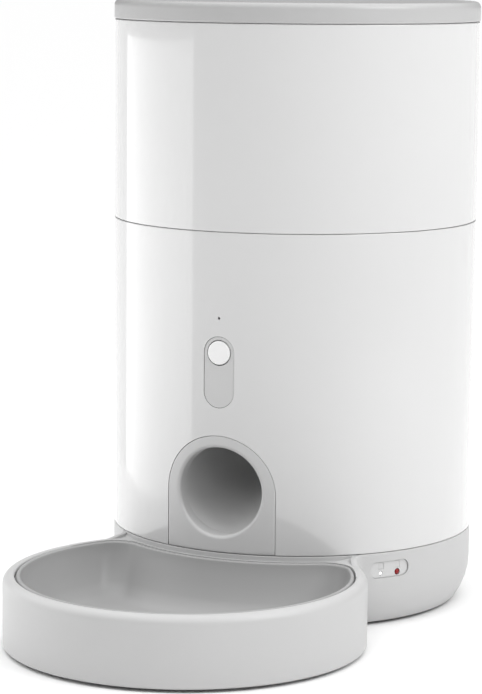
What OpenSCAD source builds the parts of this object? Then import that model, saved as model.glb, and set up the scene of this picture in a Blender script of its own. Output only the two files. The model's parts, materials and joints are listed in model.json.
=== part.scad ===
// Automatic pet feeder: a round food hopper over a drive bay, on a base that also holds the bowl.
// Millimetres, +Z up, front towards -Y, origin on the floor under the middle of the outline.

/* [Body] */
// Radius of the round body
body_r = 110; // [109:0.5:111]
// Wall thickness of the moulded shells
wall = 3; // [2.5:0.1:3]
// Height of the rubber feet under the base
foot_h = 2; // [1.5:0.1:2]
// Height of the base's top edge
base_h = 45; // [45:0.5:46]
// Height of the joint between the lower shell and the hopper
seam_z = 233; // [232:1:236]
// Height of the hopper's top edge
hopper_top = 352; // [330:1:380]
// Thickness of the lid
lid_h = 12; // [11:0.5:16]
// How far the lid stands out past the body
lid_over = 0.4; // [0.2:0.1:1]

/* [Bowl] */
// Distance from the body's axis forward to the bowl's centre
bowl_offset = 153; // [150:1:156]
// Outer radius of the bowl holder
bowl_r = 104; // [102:0.5:106]
// Height of the holder's rim
bowl_h = 42; // [41:0.5:43]
// Width of the holder's rounded rim
rim_w = 6.8; // [6:0.1:7]
// Radius of the bowl's rounded horns
horn_r = 12; // [8:1:13]

/* [Outlet] */
// Height of the food outlet's centre
outlet_z = 81; // [80:0.5:82]
// Radius of the food outlet
outlet_r = 26; // [25:0.5:26]
// Half width of the arched bezel round the outlet
arch_w = 34.6; // [33:0.2:36]
// Slope of the chute at the outlet, in degrees
chute_slope = 25; // [24:0.5:26]

/* [Controls] */
// Half width of the button's capsule panel
panel_w = 9.6; // [9.4:0.1:10.5]
// Height of the capsule's lower end
panel_low = 130.4; // [129:0.2:133]
// Height of the capsule's upper end
panel_high = 172.4; // [172:0.2:174]
// Radius of the feed button
button_r = 7; // [6.5:0.1:7.2]
// Height of the microphone's pinhole
mic_z = 183; // [182.5:0.5:183.5]
// Direction of the indicator window, in degrees from the front
window_dir = 55; // [52:1:58]

/* [Metering] */
// Radius over the rotor's vanes
rotor_r = 49.5; // [48.5:0.1:49.8]
// Number of vanes
vanes = 8; // [8:1:10]
// Vane thickness
vane_t = 2.5; // [2:0.1:3]
// Height of the metering cup's underside
cup_z = 171.5; // [171.3:0.1:172]

/* [Gears] */
// Gear module
gear_m = 1; // [1]
// Pressure angle in degrees
pressure = 25; // [25]
// Teeth on the output gear
output_teeth = 32; // [32]
// Teeth on the idler's large wheel
idler_teeth = 30; // [30]
// Teeth on each small pinion
pinion_teeth = 12; // [12]
// Play between meshing flanks, in degrees of the pitch circle times teeth
play = 4; // [3:0.5:6]

/* [Power] */
// Radius of one battery cell
cell_r = 16.7; // [16.3:0.1:16.8]
// Length of one cell's can
cell_l = 60; // [58:0.5:60.5]

/* [Hidden] */
$fn = 96;
gap = 0.3;
depth = body_r + lid_over + bowl_offset + bowl_r;
body_y = depth / 2 - body_r - lid_over;
shell_in = body_r - wall;
// The base's side curves in towards the floor on this arc
curve_r = 40;
curve_z = 26;
base_in = body_r - curve_r + sqrt(pow(curve_r - wall, 2) - pow(curve_z - foot_h, 2));
plate_t = 2.5;
// Seat that carries the bowl's lip, and the lip itself
seat_z = bowl_h - 4;
seat_t = 3;
seat_w = 5;
lip_r = bowl_r - rim_w - 1;
back_r = body_r + 2;
// Screw places round the body's axis
leg_r = 92;
boss_r = 84;
shell_boss_r = 99;
// Battery bay
cell_gap = 1.2;
bay_w = 3 * 2 * cell_r + 2 * cell_gap + 2;
bay_l = cell_l + 10;
bay_y = 9;
bay_top = base_h - wall - 0.2;
cell_z = foot_h + plate_t + 0.4 + cell_r;
spring_l = bay_l / 2 - cell_l / 2 + 2.5 - 1;
// Chute: a bend whose axis runs from the outlet up to a vertical drop
drop_y = 47;
bend_r = 32;
chute_in = outlet_r - 1;
chute_out = chute_in + 2.2;
chute_end = 97.5;
bend_y = bend_r * (1 - sin(chute_slope));
slope_l = (body_r - drop_y - bend_y) / cos(chute_slope);
bend_z = outlet_z + slope_l * sin(chute_slope) + bend_r * cos(chute_slope);
// Chassis deck and gearbox
deck_low = 168.4;
deck_t = 2.6;
box_floor = 144;
box_x = 20;
box_front = 19;
box_back = 57;
box_wall = 1.4;
cover_z = 165;
idler_y = gear_m * (output_teeth + pinion_teeth) / 2;
motor_y = idler_y + gear_m * (idler_teeth + pinion_teeth) / 2;
motor_r = 12;
shaft_r = 4;
dog = 10;
// Metering cup
cup_in = rotor_r + 1;
cup_out = cup_in + 2.7;
cup_top = 222.2;
cup_t = 3;
flange_r = 61;
cap_r = 28.5;
cap_z = hopper_top - 17;

// ---- shared shapes ----
module at_body() { translate([0, body_y, 0]) children(); }
module at_bowl() { translate([0, body_y - bowl_offset, 0]) children(); }
module round_it(count, start = 0) {
    for (i = [0 : count - 1]) rotate([0, 0, start + i * 360 / count]) children();
}

module disc(r, low, high) { translate([0, 0, low]) cylinder(r = r, h = high - low); }
module tube(r_out, r_in, low, high) {
    difference() {
        disc(r_out, low, high);
        disc(r_in, low - 1, high + 1);
    }
}
module post(r, x, y, low, high) { translate([x, y, low]) cylinder(r = r, h = high - low, $fn = 32); }
// A round rod pointing at the front, between two distances from the body's axis
module rod(r, z, near, far) { translate([0, -far, z]) rotate([-90, 0, 0]) cylinder(r = r, h = far - near); }
// A flat outline pointing at the front, between two distances from the body's axis
module plaque(z, near, far) {
    translate([0, -near, z]) rotate([90, 0, 0]) linear_extrude(far - near) children();
}
module block(low, high) { translate(low) cube(high - low); }
module screw(r, head_r, head_z, tip_z) {
    head_h = head_r * 0.7;
    up = tip_z > head_z ? 1 : -1;
    translate([0, 0, up > 0 ? head_z : head_z - head_h]) cylinder(r = head_r, h = head_h, $fn = 32);
    translate([0, 0, up > 0 ? head_z : tip_z]) cylinder(r = r, h = abs(tip_z - head_z), $fn = 32);
}

function arc(centre, r, from, to, steps) =
    [for (i = [0 : steps]) let (a = from + (to - from) * i / steps) centre + r * [cos(a), sin(a)]];
function pill(w, h) = let (r = min(w, h) / 2, x = w / 2 - r, y = h / 2 - r) concat(
    arc([x, y], r, 0, 90, 6), arc([-x, y], r, 90, 180, 6),
    arc([-x, -y], r, 180, 270, 6), arc([x, -y], r, 270, 360, 6));
function arch(w, low) = concat([[w, low]], arc([0, 0], w, 0, 180, 24), [[-w, low]]);

// Involute gear outline with one tooth centred on +X
function roll_off(r, base) = let (a = acos(min(1, base / r))) tan(a) * 180 / PI - a;
function half_tooth(teeth, r) = let (pitch = gear_m * teeth / 2, base = pitch * cos(pressure))
    (90 - play) / teeth + roll_off(pitch, base) - roll_off(max(r, base), base);
function gear_outline(teeth) =
    let (pitch = gear_m * teeth / 2,
         radii = [for (step = [-1.2, -0.7, -0.3, 0.1, 0.5, 0.85]) pitch + gear_m * step])
    [for (i = [0 : teeth - 1], side = [-1, 1], k = [0 : len(radii) - 1])
        let (r = radii[side < 0 ? k : len(radii) - 1 - k], a = 360 * i / teeth + side * half_tooth(teeth, r))
        r * [cos(a), sin(a)]];
module gear(teeth, low, high, turn, bore) {
    translate([0, 0, low]) rotate([0, 0, turn]) difference() {
        linear_extrude(high - low) polygon(gear_outline(teeth));
        translate([0, 0, -1]) cylinder(r = bore, h = high - low + 2, $fn = 48);
    }
}

// Solid of the round base, shrunk by inset
module base_form(inset, low, high) {
    reach = curve_r - inset;
    rotate_extrude() polygon(concat([[0, low]],
        arc([body_r - curve_r, curve_z], reach, -asin((curve_z - low) / reach), 0, 8),
        [[body_r - inset, high], [0, high]]));
}
module window_slot(w, h, near, far) {
    rotate([0, 0, window_dir]) plaque(34.8, near, far) polygon(pill(w, h));
}
module crescent(inset) {
    offset(r = horn_r, $fn = 48) offset(delta = -horn_r - inset) difference() {
        circle(r = lip_r);
        translate([0, bowl_offset]) circle(r = back_r);
    }
}

// ---- base ----
module base_tray() {
    color("gainsboro") difference() {
        union() {
            at_body() difference() {
                base_form(0, foot_h, base_h);
                base_form(wall, foot_h - 1, base_h - wall);
            }
            at_body() tube(shell_in - 1, shell_in - 3.2, base_h - 1, base_h + 3);
            at_body() round_it(4, 45) post(4.5, boss_r, 0, foot_h + plate_t + 0.1, base_h - 1);
            difference() {
                union() {
                    at_bowl() holder_ring();
                    intersection() {
                        at_body() disc(body_r + seat_w + 1, seat_z - seat_t, seat_z);
                        at_bowl() disc(bowl_r - 1, 0, bowl_h);
                    }
                }
                at_body() base_form(1, foot_h - 1, base_h + 1);
            }
        }
        at_body() window_slot(27.5, 10, 104, 114);
        at_body() rotate([0, 0, 180]) rod(5.6, 22, 100, 112);
        at_body() round_it(4, 45) post(1.6, boss_r, 0, 0, 20);
        at_body() round_it(3, 90) post(2, shell_boss_r, 0, base_h - 6, base_h + 4);
        at_body() round_it(4, 45) post(2, leg_r, 0, base_h - 6, base_h + 1);
        at_body() post(8, 0, 75, base_h - 6, base_h + 1);
        at_bowl() holder_feet(8.3, foot_h - 1, foot_h + 1.2);
    }
}
module holder_ring() {
    floor_z = foot_h + plate_t;
    inner = bowl_r - rim_w;
    rotate_extrude() polygon(concat(
        [[0, foot_h], [bowl_r - 0.8, foot_h], [bowl_r, foot_h + 0.8]],
        arc([bowl_r - 4.6, bowl_h - 4.6], 4.6, 0, 90, 6),
        arc([inner + 1, bowl_h - 1], 1, 90, 180, 3),
        [[inner, seat_z], [inner - seat_w, seat_z], [inner - seat_w, seat_z - seat_t],
         [bowl_r - wall, seat_z - seat_t - 4], [bowl_r - wall, floor_z], [0, floor_z]]));
}
module holder_feet(r, low, high) { for (a = [200, 270, 340]) post(r, 82 * cos(a), 82 * sin(a), low, high); }
module body_feet(r, low, high) { round_it(4, 0) post(r, 84, 0, low, high); }
module bottom_plate() {
    top = foot_h + plate_t;
    color("silver") at_body() difference() {
        disc(base_in - gap, foot_h, top);
        block([-bay_w / 2, bay_y - bay_l / 2, 0], [bay_w / 2, bay_y + bay_l / 2, top + 1]);
        round_it(4, 45) post(1.7, boss_r, 0, 0, top + 1);
        round_it(4, 45) post(3, boss_r, 0, 0, foot_h + 0.6);
        body_feet(8.3, foot_h - 1, foot_h + 1.2);
    }
}
module battery_bay() {
    t = 1.5;
    low = foot_h + plate_t + 0.1;
    color("dimgray") at_body() difference() {
        block([-bay_w / 2 - t, bay_y - bay_l / 2 - t, low], [bay_w / 2 + t, bay_y + bay_l / 2 + t, bay_top]);
        block([-bay_w / 2, bay_y - bay_l / 2, 0], [bay_w / 2, bay_y + bay_l / 2, bay_top - t]);
    }
}
module battery_door() {
    x = bay_w / 2 - gap;
    y = bay_l / 2 - gap;
    color("silver") at_body() difference() {
        block([-x, bay_y - y, foot_h], [x, bay_y + y, foot_h + plate_t - 0.2]);
        for (i = [1 : 3]) block([-12, bay_y + y - 6 - 4 * i, 0], [12, bay_y + y - 4 - 4 * i, foot_h + 0.8]);
    }
}
module each_cell() { for (i = [-1 : 1]) translate([i * (2 * cell_r + cell_gap), bay_y, cell_z]) children(); }
module batteries() {
    color("goldenrod") at_body() each_cell() rotate([90, 0, 0]) {
        translate([0, 0, 2.5 - cell_l / 2]) cylinder(r = cell_r, h = cell_l);
        translate([0, 0, 2.5 + cell_l / 2]) cylinder(r = 5, h = 1.5);
    }
}
module battery_contacts() {
    end = bay_l / 2;
    color("lightsteelblue") at_body() each_cell() {
        block([-9, -end + 0.1, -9], [9, -end + 0.7, 9]);
        block([-9, end - 0.7, -9], [9, end - 0.1, 9]);
        translate([0, end - 0.7, 0]) rotate([90, 0, 0]) cylinder(r1 = 8, r2 = 5, h = spring_l);
    }
}
module rubber_feet() {
    color("darkgray") {
        at_body() body_feet(8, 0, foot_h + 1.1);
        at_bowl() holder_feet(8, 0, foot_h + 1.1);
    }
}
module base_screws() {
    color("silver") at_body() round_it(4, 45) translate([boss_r, 0, 0]) screw(1.5, 2.6, 0.7, 16);
}
module indicator_window() {
    color("whitesmoke") at_body() difference() {
        intersection() {
            window_slot(27, 9.5, 104, 112);
            tube(body_r - 0.9, body_r - 2.6, 20, 44);
        }
        rotate([0, 0, window_dir - 3.3]) rod(1.2, 32.4, 104, 112);
        rotate([0, 0, window_dir + 2.7]) rod(1.6, 32.4, 104, 112);
    }
}
module white_led() { color("white") at_body() rotate([0, 0, window_dir - 3.3]) rod(1.1, 32.4, 104, 109.3); }
module red_led() { color("firebrick") at_body() rotate([0, 0, window_dir + 2.7]) rod(1.5, 32.4, 104, 109.4); }
module led_board() {
    color("seagreen") at_body() rotate([0, 0, window_dir]) block([-13, -103.6, 28], [13, -102.2, 40]);
}
module power_inlet() {
    color("dimgray") at_body() rotate([0, 0, 180]) difference() {
        union() {
            rod(5.4, 22, 98, 109.6);
            block([-5.5, -98.1, 16.5], [5.5, -88, 27.5]);
        }
        rod(3.2, 22, 99, 111);
    }
    color("silver") at_body() rotate([0, 0, 180]) rod(1, 22, 98.5, 108);
}

// ---- lower shell and its fittings ----
module lower_shell() {
    low = base_h + 0.3;
    color("white") at_body() difference() {
        union() {
            tube(body_r, shell_in, low, seam_z - 0.2);
            round_it(3, 90) post(5.8, shell_boss_r + 3, 0, low + 3.2, 66);
            intersection() {
                union() {
                    rod(2.6, 125, 94.8, body_r - 1);
                    rod(2.6, 189.5, 94.8, body_r - 1);
                }
                disc(body_r - 1, 100, 200);
            }
        }
        plaque(outlet_z - 2.5, 90, 112) polygon(arch(arch_w, low - outlet_z));
        plaque((panel_low + panel_high) / 2, 90, 112) polygon(pill(2 * panel_w, panel_high - panel_low));
        rod(0.8, mic_z, 90, 112);
        round_it(3, 90) post(1.6, shell_boss_r, 0, 40, 60);
        rod(1.3, 125, 90, 104);
        rod(1.3, 189.5, 90, 104);
        for (ring = [0 : 2], i = [0 : max(1, 6 * ring) - 1])
            rotate([0, 0, 180]) translate([5 * ring * cos(60 * i / max(1, ring)), 0, 0])
                rod(1.2, 150 + 5 * ring * sin(60 * i / max(1, ring)), 96, 112);
    }
}
module shell_screws() {
    color("silver") at_body() round_it(3, 90) translate([shell_boss_r, 0, 0])
        screw(1.5, 3, base_h - wall - 2.3, 57);
}
module outlet_bezel() {
    low = base_h + 0.4;
    color("lightgray") at_body() difference() {
        union() {
            intersection() {
                tube(body_r, body_r - 3.4, low, 120);
                plaque(outlet_z - 2.5, 90, 112) polygon(arch(arch_w - 0.25, low - outlet_z));
            }
            rod(outlet_r + 2.5, outlet_z, 98, body_r - 3.5);
        }
        rod(outlet_r, outlet_z, 90, 112);
    }
}
module control_panel() {
    color("gainsboro") at_body() difference() {
        intersection() {
            tube(body_r - 0.3, body_r - 3.3, 120, 180);
            plaque((panel_low + panel_high) / 2, 90, 112)
                polygon(pill(2 * panel_w - 0.5, panel_high - panel_low - 0.5));
        }
        rod(button_r + 0.6, panel_high - panel_w, 90, 112);
    }
}
module feed_button() {
    z = panel_high - panel_w;
    color("white") at_body() {
        rod(button_r, z, 105, body_r + 0.1);
        rod(button_r + 1.6, z, 104.6, 105.8);
        rod(2, z, 101.5, 105);
    }
}
module button_switch() {
    z = panel_high - panel_w;
    color("dimgray") at_body() {
        block([-3, -98.1, z - 3], [3, -94.7, z + 3]);
        rod(1.75, z, 98.1, 100.1);
    }
}
module control_board() {
    color("seagreen") at_body() difference() {
        block([-11, -94.6, 121], [11, -93, 193]);
        rod(1.5, 125, 90, 96);
        rod(1.5, 189.5, 90, 96);
    }
}
module board_screws() {
    color("silver") at_body() for (z = [125, 189.5]) {
        rod(1.2, z, 92.9, 102);
        rod(2.4, z, 91, 92.9);
    }
}
module microphone() { color("dimgray") at_body() rod(2.8, mic_z, 94.7, shell_in - 0.4); }
module speaker() {
    color("dimgray") at_body() rotate([0, 0, 180]) {
        rod(18, 150, 100.5, 104.5);
        rod(9, 150, 91, 100.6);
    }
}
module main_board() {
    color("seagreen") at_body() {
        block([-58, 61, base_h + 4], [58, 62.6, 118]);
        block([-30, 62.6, 70], [-10, 65.5, 90]);
        block([10, 62.6, 60], [38, 72, 74]);
        block([5, 62.6, 84], [25, 65, 100]);
        block([-48, 62.6, 96], [-18, 70, 104]);
    }
}

// ---- chassis, chute and drive ----
module chassis() {
    top = deck_low + deck_t;
    color("silver") at_body() difference() {
        union() {
            disc(shell_in - 0.4, deck_low, top);
            tube(cup_out + 3, cup_out + 0.6, top - 1, 184);
            round_it(4, 45) post(5, leg_r, 0, base_h + 0.1, deck_low + 1);
        }
        disc(9, deck_low - 1, top + 1);
        translate([0, -drop_y, 0]) disc(chute_in, deck_low - 1, top + 1);
        round_it(4, 45) post(1.6, leg_r, 0, base_h - 1, 60);
        gearbox_places() post(1.5, 0, 0, deck_low - 1, top + 1);
        gearbox_places() post(3, 0, 0, top - 1.6, top + 1);
        post(9, 0, 82, deck_low - 1, top + 1);
        block([-13, -shell_in, deck_low - 1], [13, -91.5, top + 1]);
    }
}
module gearbox_places() {
    for (x = [-17.2, 17.2], y = [-16.2, 53.8]) translate([x, y, 0]) children();
}
module chassis_screws() {
    color("silver") at_body() round_it(4, 45) translate([leg_r, 0, 0])
        screw(1.5, 3, base_h - wall - 2.3, 57);
}
module chute_path(r, past, wide, lap) {
    translate([0, -body_r, outlet_z]) rotate([chute_slope - 90, 0, 0]) cylinder(r = r, h = slope_l + lap);
    translate([0, -drop_y - bend_r, bend_z]) rotate([90, 0, 90]) rotate_extrude(angle = chute_slope - 90)
        translate([bend_r, 0]) circle(r = r + wide);
    translate([0, -drop_y, bend_z - lap]) cylinder(r = r, h = deck_low - 0.1 + past + lap - bend_z);
}
module chute() {
    color("gray") at_body() difference() {
        union() {
            intersection() {
                chute_path(chute_out, 0, 0, 0, $fn = 64);
                block([-40, -chute_end, 50], [40, 0, 180]);
            }
            translate([0, -body_r, outlet_z]) rotate([chute_slope - 90, 0, 0])
                translate([0, 0, slope_l - 3]) cylinder(r = chute_out + 1.5, h = 5);
        }
        chute_path(chute_in, 1, 0.15, 0.5, $fn = 64);
    }
}
module level_sensors() {
    color("dimgray") at_body() for (side = [-1, 1]) translate([side * (chute_out + 4), -drop_y, 155])
        cube([7, 10, 12], center = true);
}
module gearbox_housing() {
    color("whitesmoke") at_body() difference() {
        union() {
            difference() {
                block([-box_x, -box_front, box_floor], [box_x, box_back, cover_z - 0.1]);
                block([box_wall - box_x, box_wall - box_front, box_floor + 2.5],
                      [box_x - box_wall, box_back - box_wall, cover_z + 1]);
            }
            gearbox_places() post(2.8, 0, 0, box_floor + 1, cover_z - 0.1);
        }
        gearbox_places() post(1.4, 0, 0, 150, cover_z + 1);
        post(shaft_r + 0.06, 0, 0, box_floor - 1, box_floor + 4);
        post(1.52, 0, idler_y, box_floor - 1, box_floor + 4);
        post(3.2, 0, motor_y, box_floor - 1, box_floor + 4);
    }
}
module gearbox_cover() {
    color("whitesmoke") at_body() difference() {
        block([-box_x, -box_front, cover_z], [box_x, box_back, cover_z + 2.2]);
        gearbox_places() post(1.4, 0, 0, cover_z - 1, cover_z + 4);
        post(shaft_r + 0.06, 0, 0, cover_z - 1, cover_z + 4);
        post(1.52, 0, idler_y, cover_z - 1, cover_z + 4);
    }
}
module gearbox_screws() {
    color("silver") at_body() gearbox_places() {
        post(1.2, 0, 0, 152, deck_low + 1.2);
        post(2.6, 0, 0, deck_low + 1.1, deck_low + 2.5);
    }
}
module gear_motor() {
    color("lightsteelblue") at_body() translate([0, motor_y, 0]) difference() {
        union() {
            disc(motor_r, 106, box_floor - 0.1);
            disc(3, box_floor - 1, box_floor + 2);
            disc(4, 104, 107);
        }
        disc(1.6, 130, box_floor + 3);
    }
}
module motor_pinion() {
    color("gold") at_body() translate([0, motor_y, 0]) {
        gear(pinion_teeth, 148, 153.5, -90 + 180 / pinion_teeth, 1);
        post(1.5, 0, 0, 132, 154);
    }
}
module idler_gear() {
    color("ivory") at_body() translate([0, idler_y, 0]) {
        gear(idler_teeth, 148, 153, 90, 1.56);
        gear(pinion_teeth, 153, 160.5, -90 + 180 / pinion_teeth, 1.56);
    }
}
module idler_pin() { color("silver") at_body() post(1.5, 0, idler_y, box_floor + 0.1, cover_z + 2.1); }
module output_gear() { color("ivory") at_body() gear(output_teeth, 154, 160, 90, shaft_r + 0.04); }
module drive_spindle() {
    color("silver") at_body() {
        post(shaft_r, 0, 0, box_floor + 0.2, 171);
        block([-dog / 2, -dog / 2, 170.5], [dog / 2, dog / 2, 184]);
    }
}

// ---- metering and hopper ----
module metering_cup() {
    floor_top = cup_z + cup_t;
    color("whitesmoke") at_body() difference() {
        union() {
            difference() {
                disc(cup_out, cup_z, cup_top);
                disc(cup_in, floor_top, cup_top + 1);
            }
            tube(flange_r, cup_out - 0.5, cup_top - 3, cup_top);
            disc(10.5, cup_z + 1, floor_top + 3.5);
        }
        disc(8.5, cup_z - 1, floor_top + 5);
        translate([0, 0, cup_z - 1]) linear_extrude(cup_t + 2)
            polygon(concat(arc([0, 0], 49, -110, -70, 8), arc([0, 0], 25, -70, -110, 4)));
        round_it(4, 45) post(1.4, 57.2, 0, cup_top - 4, cup_top + 1);
    }
}
module metering_rotor() {
    low = cup_z + cup_t + 0.7;
    high = 217;
    color("silver") at_body() difference() {
        union() {
            disc(16, low, high);
            round_it(vanes) block([14, -vane_t / 2, low], [rotor_r, vane_t / 2, high]);
        }
        disc(10.58, low - 1, cup_z + cup_t + 4.2);
        block([-dog / 2 - 0.5, -dog / 2 - 0.5, low], [dog / 2 + 0.5, dog / 2 + 0.5, 186]);
    }
}
module stirrer() {
    color("lightgray") at_body() {
        disc(10, 217, 228);
        translate([0, 0, 228]) cylinder(r1 = 10, r2 = 4, h = 6);
        round_it(3) translate([8, 0, 226]) rotate([0, 90, 0]) cylinder(r = 1.9, h = 34, $fn = 32);
    }
}
module pocket_cover() {
    color("gainsboro") at_body() translate([0, 0, 219.8]) linear_extrude(2)
        polygon(concat(arc([0, 0], cup_in - 0.1, -116, -64, 10), arc([0, 0], 19, -64, -116, 6)));
}
module hopper_funnel() {
    low = cup_top + 0.1;
    color("whitesmoke") at_body() difference() {
        rotate_extrude() polygon([[cup_in, low], [flange_r + 0.5, low], [shell_in - 0.4, 259],
            [shell_in - 0.4, 268], [shell_in - 2.4, 268], [shell_in - 2.4, 262], [cup_in, low + 2.5]]);
        round_it(4, 45) post(1.4, 57.2, 0, low - 1, low + 5);
    }
}
module hopper_screws() {
    color("silver") at_body() round_it(4, 45) translate([57.2, 0, 0])
        screw(1.3, 2.6, cup_top - 4.9, cup_top + 4);
}
module hopper_shell() {
    low = seam_z + 0.1;
    color("white") at_body() {
        tube(body_r, shell_in, low, hopper_top);
        tube(shell_in + 0.5, shell_in - 3, low, low + 7);
        tube(shell_in - 0.5, shell_in - 3, low - 7, low + 1);
    }
}

// ---- lid ----
module lid() {
    r = body_r + lid_over;
    low = hopper_top + 0.3;
    top = hopper_top + lid_h;
    color("lightgray") at_body() rotate_extrude() polygon(concat(
        [[r - 2.8, low], [r - 0.5, low], [r, low + 0.5]], arc([r - 3.5, top - 3.5], 3.5, 0, 90, 6),
        [[0, top], [0, top - 2.6], [r - 4.2, top - 2.6], [r - 2.8, top - 4]]));
}
module lid_liner() {
    low = hopper_top + 0.4;
    color("gainsboro") at_body() {
        disc(shell_in, low, low + 2);
        tube(shell_in - 2.4, shell_in - 4.6, low - 9, low + 1);
    }
}
module lid_seal() {
    low = hopper_top - 6;
    color("lightgray") at_body() rotate_extrude() polygon([[shell_in - 2.3, low], [shell_in - 0.3, low + 1],
        [shell_in - 1.2, low + 2], [shell_in - 0.3, low + 3], [shell_in - 2.3, low + 4]]);
}
module desiccant_box() {
    color("gainsboro") at_body() tube(cap_r - 2.6, cap_r - 4.4, cap_z + 3.2, hopper_top + 0.3);
}
module desiccant_cap() {
    color("lightgray") at_body() difference() {
        union() {
            disc(cap_r, cap_z, cap_z + 2.6);
            tube(cap_r, cap_r - 2.2, cap_z, cap_z + 8);
        }
        round_it(8) block([9, -1.2, cap_z - 1], [21, 1.2, cap_z + 3]);
    }
}

// ---- bowl ----
module feeding_bowl() {
    floor_z = foot_h + plate_t + 3;
    taper = 0.84;
    color("darkgray") at_bowl() difference() {
        union() {
            translate([0, 0, seat_z + 0.1]) linear_extrude(bowl_h - seat_z - 0.3) crescent(0);
            translate([0, 0, floor_z]) linear_extrude(seat_z + 0.2 - floor_z, scale = 1 / taper)
                scale([taper, taper]) crescent(seat_w + 0.6);
        }
        translate([0, 0, floor_z + 2.4]) linear_extrude(seat_z - floor_z, scale = 1 / taper)
            scale([taper, taper]) crescent(seat_w + 2.8);
        translate([0, 0, seat_z]) linear_extrude(10) crescent(seat_w + 2.7);
    }
}

base_tray();
bottom_plate();
battery_bay();
battery_door();
batteries();
battery_contacts();
rubber_feet();
base_screws();
indicator_window();
white_led();
red_led();
led_board();
power_inlet();
lower_shell();
shell_screws();
outlet_bezel();
control_panel();
feed_button();
button_switch();
control_board();
board_screws();
microphone();
speaker();
main_board();
chassis();
chassis_screws();
chute();
level_sensors();
gearbox_housing();
gearbox_cover();
gearbox_screws();
gear_motor();
motor_pinion();
idler_gear();
idler_pin();
output_gear();
drive_spindle();
metering_cup();
metering_rotor();
stirrer();
pocket_cover();
hopper_funnel();
hopper_screws();
hopper_shell();
lid();
lid_liner();
lid_seal();
desiccant_box();
desiccant_cap();
feeding_bowl();
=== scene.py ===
"""Automatic pet feeder: round white hopper and lower shell, grey lid, base and lift-out bowl."""
import json
import math

import bmesh
import bpy
from mathutils import Matrix, Vector


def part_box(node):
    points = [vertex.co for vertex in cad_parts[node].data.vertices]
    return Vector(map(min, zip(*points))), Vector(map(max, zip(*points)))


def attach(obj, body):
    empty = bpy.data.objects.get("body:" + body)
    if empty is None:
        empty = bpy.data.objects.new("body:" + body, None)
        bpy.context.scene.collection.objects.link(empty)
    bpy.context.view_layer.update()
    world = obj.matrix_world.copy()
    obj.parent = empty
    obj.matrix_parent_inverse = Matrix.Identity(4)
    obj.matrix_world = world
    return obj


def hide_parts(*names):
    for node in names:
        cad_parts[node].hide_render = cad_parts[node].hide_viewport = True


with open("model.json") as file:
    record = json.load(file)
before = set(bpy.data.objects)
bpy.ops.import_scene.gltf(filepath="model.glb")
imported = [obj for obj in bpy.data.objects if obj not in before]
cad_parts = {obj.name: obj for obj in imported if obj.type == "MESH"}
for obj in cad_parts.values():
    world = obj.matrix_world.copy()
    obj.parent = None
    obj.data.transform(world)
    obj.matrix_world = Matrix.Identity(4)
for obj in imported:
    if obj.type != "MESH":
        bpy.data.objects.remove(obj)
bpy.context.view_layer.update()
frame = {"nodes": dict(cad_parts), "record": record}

MM = 0.001
FRONT = -math.pi / 2
SLOT_OF = {row["node"]: row["material_slot"] for row in frame["record"]["subparts"]}

# ---------------------------------------------------------------- sizes, from the frame where it has them
hopper_low, hopper_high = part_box("hopper_shell")
shell_low, shell_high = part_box("lower_shell")
lid_low, lid_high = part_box("lid")
bowl_low, bowl_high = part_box("feeding_bowl")
panel_low, panel_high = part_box("control_panel")
button_low, button_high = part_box("feed_button")
base_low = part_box("base_tray")[0]
chute_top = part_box("chute")[1].z

# the round body
AXIS = Vector((0, (hopper_low.y + hopper_high.y) / 2, 0))
BODY_R = 110 * MM
LID_R = BODY_R + 0.4 * MM
WALL = 3 * MM
SEAM_Z = shell_high.z + 0.2 * MM
SHELL_Z = shell_low.z

# the base, with the holder for the bowl
BOWL_R = 104 * MM
BOWL = Vector((0, base_low.y + BOWL_R, 0))
BASE_Z = base_low.z
DECK_Z = 45 * MM
RIM_Z = 42 * MM
SEAT_Z = 38 * MM
CROOK_R = 6 * MM

# the bowl
LIP_R = (bowl_high.x - bowl_low.x) / 2
BACK_R = BODY_R + 2 * MM
HORN_R = 16 * MM
BOWL_TOP = RIM_Z - 0.2 * MM
BOWL_FLOOR = 7.5 * MM

# the food outlet
OUTLET_Z = 81 * MM
OUTLET_R = 26 * MM
ARCH_W = 34.6 * MM
ARCH_Z = OUTLET_Z - 1.4 * MM
LINER_Y = 11 * MM

# the button's panel, the microphone's pinhole, and the window with its lamps
BUTTON_R = 7 * MM
BUTTON_Z = (button_low.z + button_high.z) / 2
PANEL_W = 2 * 9.6 * MM
PANEL_H = panel_high.z - panel_low.z + 0.5 * MM
PANEL_Z = (panel_low.z + panel_high.z) / 2
MIC_Z = 183 * MM
WINDOW_DIR = math.radians(55)
WINDOW_Z = 34.8 * MM
LAMP_Z = 32.4 * MM
INLAY_Z = 37 * MM


# ---------------------------------------------------------------- camera, floor and light
def make_camera():
    """A long lens, a little to the right of the front and above it, aimed at the middle of the body."""
    turn, down, roll = math.radians(24.3), math.radians(8.34), math.radians(0.5)
    distance, aim_up, aim_aside = 1.65335, 0.15172, -0.03239
    lens, sensor = 139.4, 36
    ahead = Vector((-math.sin(turn) * math.cos(down), math.cos(turn) * math.cos(down), -math.sin(down)))
    level = Vector((math.cos(turn), math.sin(turn), 0))
    upward = level.cross(ahead)
    right = level * math.cos(roll) + upward * math.sin(roll)
    up = upward * math.cos(roll) - level * math.sin(roll)
    aim = AXIS + Vector((0, 0, aim_up)) + level * aim_aside
    camera = bpy.data.objects.new("camera", bpy.data.cameras.new("camera"))
    bpy.context.scene.collection.objects.link(camera)
    camera.data.sensor_width, camera.data.lens = sensor, lens
    camera.matrix_world = Matrix((
        (right.x, up.x, -ahead.x, 0), (right.y, up.y, -ahead.y, 0),
        (right.z, up.z, -ahead.z, 0), (0, 0, 0, 1)))
    camera.location = aim - ahead * distance
    camera.data.clip_end = 100
    bpy.context.scene.camera = camera


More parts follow.
